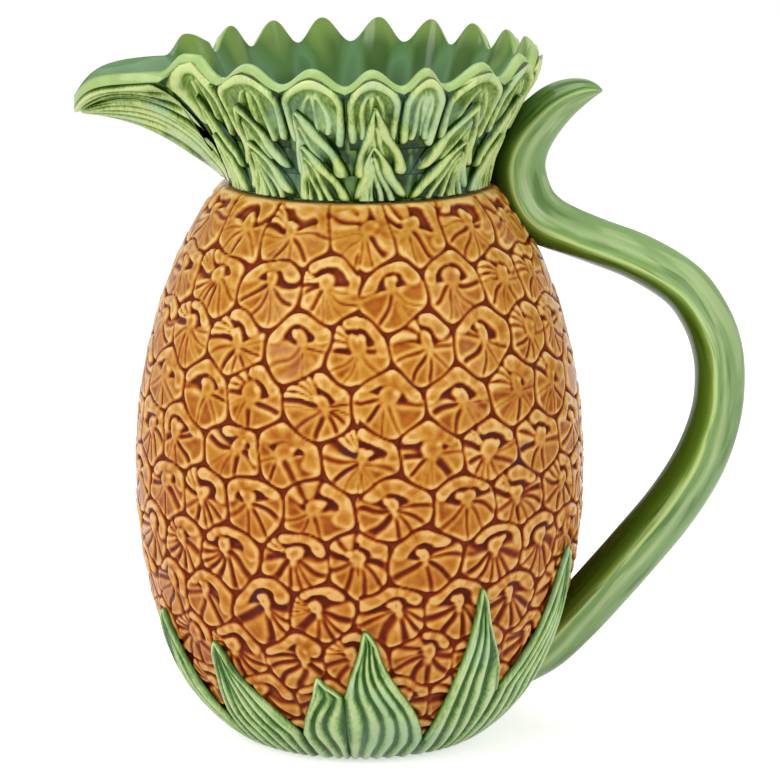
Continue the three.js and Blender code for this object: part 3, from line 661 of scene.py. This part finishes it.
def handle_mesh():
    knots = HANDLE_LINE
    steps, sides = 240, 40
    # Catmull-Rom through the line, evenly in its length
    padded = np.vstack([2 * knots[0] - knots[1], knots, 2 * knots[-1] - knots[-2]])
    fine = []
    for i in range(len(knots) - 1):
        p0, p1, p2, p3 = padded[i:i + 4]
        for t in np.linspace(0, 1, 24, endpoint=False):
            fine.append(0.5 * (2 * p1 + (p2 - p0) * t + (2 * p0 - 5 * p1 + 4 * p2 - p3) * t * t
                               + (3 * p1 - p0 - 3 * p2 + p3) * t**3))
    fine = np.array(fine + [knots[-1]])
    length = np.concatenate([[0], np.cumsum(np.hypot(*np.diff(fine[:, :2], axis=0).T))])
    even = np.linspace(0, length[-1], steps)
    x, z, half = (np.interp(even, length, fine[:, c]) for c in range(3))
    for _ in range(6):
        x[1:-1], z[1:-1], half[1:-1] = [(c[:-2] + 2 * c[1:-1] + c[2:]) / 4 for c in (x, z, half)]
    tx, tz = np.gradient(x), np.gradient(z)
    size = np.hypot(tx, tz)
    tx, tz = tx / size, tz / size
    angle = 2 * np.pi * np.arange(sides) / sides
    out, wide = [np.sign(wave) * np.abs(wave) ** (2 / HANDLE_CORNER) for wave in (np.cos(angle), np.sin(angle))]
    half_width = HANDLE_HALF_WIDTH * np.minimum(1, half / HANDLE_FULL_THICKNESS)
    out = out - HANDLE_FLATTENING * (1 - out**2)
    px = x[:, None] + (-tz * half)[:, None] * out
    pz = z[:, None] + (tx * half)[:, None] * out
    py = half_width[:, None] * wide
    points = np.stack([px, py, pz], -1).reshape(-1, 3)
    faces = grid_faces(steps, sides, True).tolist()
    faces += [list(range(sides))[::-1], list(range((steps - 1) * sides, steps * sides))]
    marks = {
        "facing": np.tile(np.cos(angle), steps),
        "along": np.repeat(even / length[-1], sides),
    }
    uv = []
    for f in faces:
        row, column = np.divmod(np.array(f), sides)
        if len(f) > 4:
            turn = 2 * np.pi * column / sides
            uv += list(zip(0.9 + 0.04 * np.cos(turn), (0.1 if row[0] == 0 else 0.25) + 0.04 * np.sin(turn)))
            continue
        wrapped = np.where((column == 0) & (column.max() == sides - 1), sides, column)
        uv += list(zip(0.8 * wrapped / sides, row / steps))
    return face_out(make_piece("handle_glazed", points, faces, marks, uv))


# Glazes

def srgb(red, green, blue):
    return tuple((c / 12.92 if c <= 0.04045 else ((c + 0.055) / 1.055) ** 2.4) for c in
                 (red / 255, green / 255, blue / 255)) + (1.0,)


# The crown's glaze where it is deep, on the leaves and on the wall behind them
CROWN_DARK, CROWN_POOL = srgb(24, 54, 8), srgb(84, 120, 106)


class Glaze:
    """A node material with short names for the nodes that the glazes share."""

    def __init__(self, name):
        self.material = bpy.data.materials.new(name)
        self.material.use_nodes = True
        self.tree = self.material.node_tree
        self.shader = self.tree.nodes["Principled BSDF"]
        self.place = self.node("ShaderNodeTexCoord").outputs["Object"]

    def node(self, kind, **settings):
        node = self.tree.nodes.new(kind)
        for key, value in settings.items():
            setattr(node, key, value)
        return node

    def put(self, socket, value):
        if isinstance(value, bpy.types.NodeSocket):
            self.tree.links.new(value, socket)
        else:
            socket.default_value = value

    def mark(self, name, vector=False):
        node = self.node("ShaderNodeAttribute", attribute_name=name)
        return node.outputs["Vector" if vector else "Fac"]

    def math(self, operation, a, b=0.0, clamp=False):
        node = self.node("ShaderNodeMath", operation=operation, use_clamp=clamp)
        self.put(node.inputs[0], a)
        self.put(node.inputs[1], b)
        return node.outputs[0]

    def span(self, value, low, high, to_low=0.0, to_high=1.0):
        node = self.node("ShaderNodeMapRange", interpolation_type="SMOOTHSTEP")
        for socket, item in zip(node.inputs, (value, low, high, to_low, to_high)):
            self.put(socket, item)
        return node.outputs[0]

    def noise(self, size_mm, detail=2.0, place=None, stretch=None):
        place = place or self.place
        if stretch:
            mapping = self.node("ShaderNodeMapping")
            mapping.inputs["Scale"].default_value = stretch
            self.put(mapping.inputs["Vector"], place)
            place = mapping.outputs[0]
        node = self.node("ShaderNodeTexNoise")
        node.inputs["Scale"].default_value = 1000 / size_mm
        node.inputs["Detail"].default_value = detail
        self.put(node.inputs["Vector"], place)
        return node.outputs["Fac"]

    def split(self, vector, axis):
        node = self.node("ShaderNodeSeparateXYZ")
        self.put(node.inputs[0], vector)
        return node.outputs[axis]

    def mix(self, factor, a, b, blend="MIX"):
        node = self.node("ShaderNodeMix", data_type="RGBA", blend_type=blend)
        self.put(node.inputs["Factor"], factor)
        self.put(node.inputs[6], a)
        self.put(node.inputs[7], b)
        return node.outputs[2]

    def ramp(self, value, stops):
        node = self.node("ShaderNodeValToRGB")
        band = node.color_ramp
        while len(band.elements) < len(stops):
            band.elements.new(0.5)
        for element, (place, colour) in zip(band.elements, stops):
            element.position, element.color = place, colour
        self.put(node.inputs[0], value)
        return node.outputs[0]

    def finish(self, colour, roughness, height=None, depth_mm=0.2, specular=0.22):
        self.put(self.shader.inputs["Base Color"], colour)
        self.put(self.shader.inputs["Roughness"], roughness)
        self.shader.inputs["Specular IOR Level"].default_value = specular
        if height is not None:
            node = self.node("ShaderNodeBump")
            node.inputs["Strength"].default_value = 1.0
            node.inputs["Distance"].default_value = depth_mm * MM
            self.put(node.inputs["Height"], height)
            self.put(self.shader.inputs["Normal"], node.outputs[0])
        return self.material


def fruit_glaze():
    g = Glaze("fruit_glaze_amber")
    pool, edge, hood, inner = g.mark("pool"), g.mark("edge"), g.mark("hood"), g.mark("inner")
    eye = g.mark("eye", vector=True)
    height = g.split(g.place, 2)
    angle = g.math("ARCTAN2", g.split(eye, 0), g.split(eye, 1))
    ribs = g.math("SINE", g.math("MULTIPLY", angle, 27.0))
    ribs = g.math("MULTIPLY", ribs, g.math("MULTIPLY", hood, g.span(edge, 4.6, 2.2)))
    patch = g.noise(9, 3.0)
    fleck = g.noise(2.2, 3.0)
    depth = g.math("ADD", g.math("MULTIPLY", pool, 1.05), g.math("MULTIPLY", g.math("SUBTRACT", patch, 0.5), 0.7))
    depth = g.math("ADD", depth, g.math("MULTIPLY", g.math("SUBTRACT", fleck, 0.5), 0.4))
    depth = g.math("SUBTRACT", depth, g.math("MULTIPLY", ribs, 0.05))
    low = g.span(height, 0.19, 0.03)
    depth = g.math("ADD", depth, g.math("ADD", g.math("MULTIPLY", low, 0.14), 0.09))
    scale = g.span(depth, -0.75, 1.35)
    colour = g.ramp(scale, [
        (0.02, srgb(238, 198, 126)), (0.12, srgb(222, 166, 80)), (0.26, srgb(203, 142, 50)),
        (0.41, srgb(187, 114, 35)), (0.56, srgb(162, 80, 22)), (0.76, srgb(128, 46, 12)), (1.0, srgb(82, 22, 6)),
    ])
    groove = g.math("MULTIPLY", g.span(edge, 0.9, 0.25), g.math("SUBTRACT", 1.0, inner))
    colour = g.mix(g.math("MULTIPLY", groove, 0.9), colour, srgb(128, 46, 12))
    deep = g.mix(g.math("MULTIPLY", low, 0.5), srgb(255, 255, 255), srgb(244, 200, 158))
    colour = g.mix(1.0, colour, deep, "MULTIPLY")
    blot = g.span(g.noise(13, 1.0), 0.66, 0.76)
    blot = g.math("MULTIPLY", g.math("MULTIPLY", blot, g.span(pool, 0.0, 0.7)), 0.75)
    colour = g.mix(blot, colour, srgb(70, 38, 52))
    colour = g.mix(inner, colour, g.mix(patch, srgb(128, 174, 148), srgb(104, 152, 124)))
    wave = g.math("ADD", g.math("MULTIPLY", ribs, 0.16), g.math("MULTIPLY", g.noise(3.2, 2.0), 0.6))
    rough = g.span(g.math("MAXIMUM", g.span(depth, 0.1, 0.6), groove), 0.0, 1.0, 0.15, 0.4)
    return g.finish(colour, rough, wave, 0.28, 0.11)


def leaf_glaze(name, pale, mid, olive, dark, blue, tint):
    g = Glaze(name)
    ridge = g.mark("ridge")
    vein = g.noise(1.0, 3.0, g.place, (1.0, 1.0, 0.22))
    patch = g.noise(11, 2.0)
    value = g.math("ADD", g.math("POWER", ridge, 1.3), g.math("MULTIPLY", g.math("SUBTRACT", patch, 0.5), 0.8))
    value = g.math("ADD", value, g.math("MULTIPLY", g.math("SUBTRACT", vein, 0.5), 0.65))
    colour = g.ramp(g.span(value, 0.0, 1.05), [(0.05, dark), (0.32, olive), (0.70, mid), (1.0, pale)])
    bluish = g.math("MULTIPLY", g.span(g.noise(21, 1.0), 0.5, 0.66), g.span(ridge, 0.3, 0.8))
    colour = g.mix(g.math("MULTIPLY", bluish, 0.45), colour, tint)
    pooled = g.math("MULTIPLY", g.span(g.noise(17, 1.0), 0.52, 0.7), g.span(ridge, 0.55, 0.15))
    colour = g.mix(g.math("MULTIPLY", pooled, 0.8), colour, blue)
    wave = g.math("ADD", g.math("MULTIPLY", vein, 0.6), g.math("MULTIPLY", patch, 0.4))
    return g.finish(colour, 0.14, wave, 0.22)


def wall_glaze():
    g = Glaze("crown_wall_glaze")
    level, side, tip = g.mark("level"), g.mark("side"), g.mark("tip")
    streak = g.noise(14, 2.0, g.place, (1.0, 1.0, 0.35))
    # Inside, the wall goes lighter up towards the rim and into the leaf tips: partly the glaze's own change of tone,
    # partly painted shade lower down inside the crown, where less light falls
    inside_tone_and_shade = g.math("ADD", g.math("MULTIPLY", level, 0.75), g.math("MULTIPLY", g.math("MULTIPLY", tip, level), 0.45))
    inside_tone_and_shade = g.math("ADD", inside_tone_and_shade, g.math("MULTIPLY", g.math("SUBTRACT", streak, 0.5), 0.55))
    inside = g.ramp(g.span(inside_tone_and_shade, 0.25, 1.2), [
        (0.0, srgb(62, 96, 50)), (0.4, srgb(94, 134, 86)), (0.7, srgb(84, 122, 56)), (0.95, srgb(124, 154, 74)),
    ])
    pooled = g.span(g.noise(17, 1.0), 0.52, 0.7)
    shade = g.math("MULTIPLY", g.span(tip, 0.25, 0.8), g.span(g.noise(52, 1.0), 0.44, 0.54))
    shade = g.math("MULTIPLY", shade, g.math("MULTIPLY", g.span(level, 0.99, 0.88), g.span(level, 0.35, 0.65)))
    inside = g.mix(g.math("MULTIPLY", shade, 0.75), inside, srgb(48, 84, 22))
    rills = g.noise(3.4, 2.0, g.place, (1.0, 1.0, 0.2))
    outside = g.mix(g.math("ADD", g.span(rills, 0.42, 0.62), g.math("MULTIPLY", g.span(level, 0.86, 0.97), 0.55), True),
                    CROWN_DARK, srgb(104, 142, 72))
    outside = g.mix(g.math("MULTIPLY", pooled, 0.7), outside, CROWN_POOL)
    colour = g.mix(g.span(side, 0.3, 0.8), outside, inside)
    lip = g.math("MULTIPLY", g.span(level, 0.98, 0.992), g.span(side, 0.8, 0.5))
    colour = g.mix(g.math("MULTIPLY", lip, 0.9), colour, g.mix(g.noise(9), srgb(150, 184, 98), srgb(192, 216, 142)))
    return g.finish(colour, 0.12, streak, 0.25)


def handle_glaze():
    g = Glaze("handle_glaze_green")
    facing, along = g.mark("facing"), g.mark("along")
    lengthwise = g.node("ShaderNodeCombineXYZ")
    g.put(lengthwise.inputs[0], g.math("MULTIPLY", facing, 0.003))
    g.put(lengthwise.inputs[1], g.math("MULTIPLY", along, 0.008))
    streak = g.noise(1.0, 2.0, lengthwise.outputs[0])
    patch = g.noise(24, 2.0)
    # Colour across the band, by facing: dark olive on the inner facet towards the jug, partly pooled glaze and partly
    # painted shade; a pale yellow-green ridge in the middle; celadon on the outer facet, with a pale band there that is
    # a painted highlight
    place = g.math("ADD", facing, g.math("MULTIPLY", g.math("SUBTRACT", patch, 0.5), 0.3))
    place = g.math("ADD", place, g.math("MULTIPLY", g.math("SUBTRACT", streak, 0.5), 0.35))
    colour = g.ramp(g.span(place, -1.0, 1.0), [
        (0.04, srgb(60, 88, 16)), (0.20, srgb(84, 116, 34)), (0.32, srgb(128, 160, 66)), (0.42, srgb(196, 216, 132)),
        (0.54, srgb(182, 208, 138)), (0.64, srgb(130, 164, 88)), (0.76, srgb(124, 160, 92)),
        (0.86, srgb(170, 194, 134)), (0.96, srgb(130, 164, 98)),
    ])
    hook = g.math("MULTIPLY", g.span(along, 0.13, 0.04), g.span(facing, 0.1, -0.3))
    colour = g.mix(g.math("MULTIPLY", hook, 0.9), colour, srgb(122, 162, 88))
    # Dark streaks of glaze, darker still on the inner facet towards the jug: painted shade there
    dark = g.math("MULTIPLY", g.span(streak, 0.52, 0.66), 0.7)
    colour = g.mix(dark, colour, g.mix(g.span(facing, -0.5, 0.3), srgb(50, 72, 12), srgb(84, 118, 48)))
    light = g.math("MULTIPLY", g.span(streak, 0.46, 0.34), g.span(facing, -0.1, 0.4))
    colour = g.mix(g.math("MULTIPLY", light, 0.5), colour, srgb(192, 212, 150))
    return g.finish(colour, 0.14, streak, 0.2)


# The jug

crown_glaze = leaf_glaze("crown_glaze_green", srgb(208, 224, 150), srgb(148, 178, 84), srgb(86, 118, 30),
                         CROWN_DARK, CROWN_POOL, srgb(176, 212, 178))
base_glaze = leaf_glaze("base_leaf_glaze_green", srgb(206, 226, 162), srgb(158, 192, 112), srgb(106, 150, 70),
                        srgb(56, 98, 38), srgb(84, 128, 84), srgb(168, 206, 172))

pieces = [(fruit_mesh(), "fruit_body", fruit_glaze(), "fruit_glaze")]
pieces.append((crown_wall_mesh(), "crown_collar", wall_glaze(), "crown_glaze"))
pieces.append((handle_mesh(), "handle", handle_glaze(), "handle_glaze"))
pieces += [(piece, node, crown_glaze, "crown_glaze") for piece, node in crown_leaves()]
pieces += [(piece, node, base_glaze, "base_leaf_glaze") for piece, node in base_leaves()]
for piece, node, material, slot in pieces:
    piece.data.materials.append(material)
    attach(piece, "root")
    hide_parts(node)


# Floor, light and camera

def background_rays(tree):
    """1 for the rays that see the background: straight from the camera, in a reflection or through glass."""
    path = tree.nodes.new("ShaderNodeLightPath")
    seen = path.outputs["Is Camera Ray"]
    for ray in ("Is Glossy Ray", "Is Transmission Ray"):
        either = tree.nodes.new("ShaderNodeMath")
        either.operation = "MAXIMUM"
        tree.links.new(seen, either.inputs[0])
        tree.links.new(path.outputs[ray], either.inputs[1])
        seen = either.outputs[0]
    return seen


def scaled(tree, value, low, high):
    node = tree.nodes.new("ShaderNodeMapRange")
    tree.links.new(value, node.inputs["Value"])
    node.inputs["To Min"].default_value, node.inputs["To Max"].default_value = low, high
    return node.outputs[0]


def floor_paper():
    """White paper: it glows for the rays that see it as background, and still takes the object's shadow."""
    material = bpy.data.materials.new("floor_paper")
    material.use_nodes = True
    tree = material.node_tree
    shader = tree.nodes["Principled BSDF"]
    shader.inputs["Base Color"].default_value = (0.9, 0.9, 0.9, 1)
    shader.inputs["Roughness"].default_value = 0.9
    shader.inputs["Specular IOR Level"].default_value = 0.1
    shader.inputs["Emission Color"].default_value = (1, 1, 1, 1)
    tree.links.new(scaled(tree, background_rays(tree), 0.0, FLOOR_GLOW), shader.inputs["Emission Strength"])
    return material


FLOOR_GLOW, WORLD_LIGHT = 0.62, 0.4
bpy.ops.mesh.primitive_plane_add(size=8)
floor = bpy.context.object
floor.name = "floor"
floor.data.materials.append(floor_paper())

world = bpy.data.worlds.new("studio")
bpy.context.scene.world = world
world.use_nodes = True
background = world.node_tree.nodes["Background"]
background.inputs["Color"].default_value = (1, 1, 1, 1)
glow = scaled(world.node_tree, background_rays(world.node_tree), WORLD_LIGHT, 1.0)
world.node_tree.links.new(glow, background.inputs["Strength"])


def softbox(name, place, aim, size, power):
    light = bpy.data.lights.new(name, "AREA")
    light.shape, light.size, light.size_y, light.energy = "RECTANGLE", size[0], size[1], power
    lamp = bpy.data.objects.new(name, light)
    lamp.location = place
    lamp.rotation_euler = (Vector(aim) - Vector(place)).to_track_quat("-Z", "Y").to_euler()
    bpy.context.scene.collection.objects.link(lamp)


MIDDLE = (0.0, 0.0, 0.13)
softbox("key_left", (-0.75, -0.85, 0.75), MIDDLE, (0.5, 0.7), 7.5)
softbox("fill_right", (0.95, -0.6, 0.55), MIDDLE, (0.45, 0.7), 3.6)
softbox("top", (0.0, 0.1, 1.1), MIDDLE, (0.8, 0.6), 4.0)

LENS, SENSOR = 185.1, 36.0
CAMERA_PLACE, CAMERA_AIM = (0.0, -1.444, 0.4465), (0.0112, 0.0, 0.1292)
camera_data = bpy.data.cameras.new("camera")
camera_data.lens, camera_data.sensor_width, camera_data.sensor_fit = LENS, SENSOR, "HORIZONTAL"
camera_data.clip_start, camera_data.clip_end = 0.05, 50
camera = bpy.data.objects.new("camera", camera_data)
camera.location = CAMERA_PLACE
camera.rotation_euler = (Vector(CAMERA_AIM) - camera.location).to_track_quat("-Z", "Y").to_euler()
bpy.context.scene.collection.objects.link(camera)
bpy.context.scene.camera = camera
bpy.context.scene.view_settings.view_transform = "Standard"
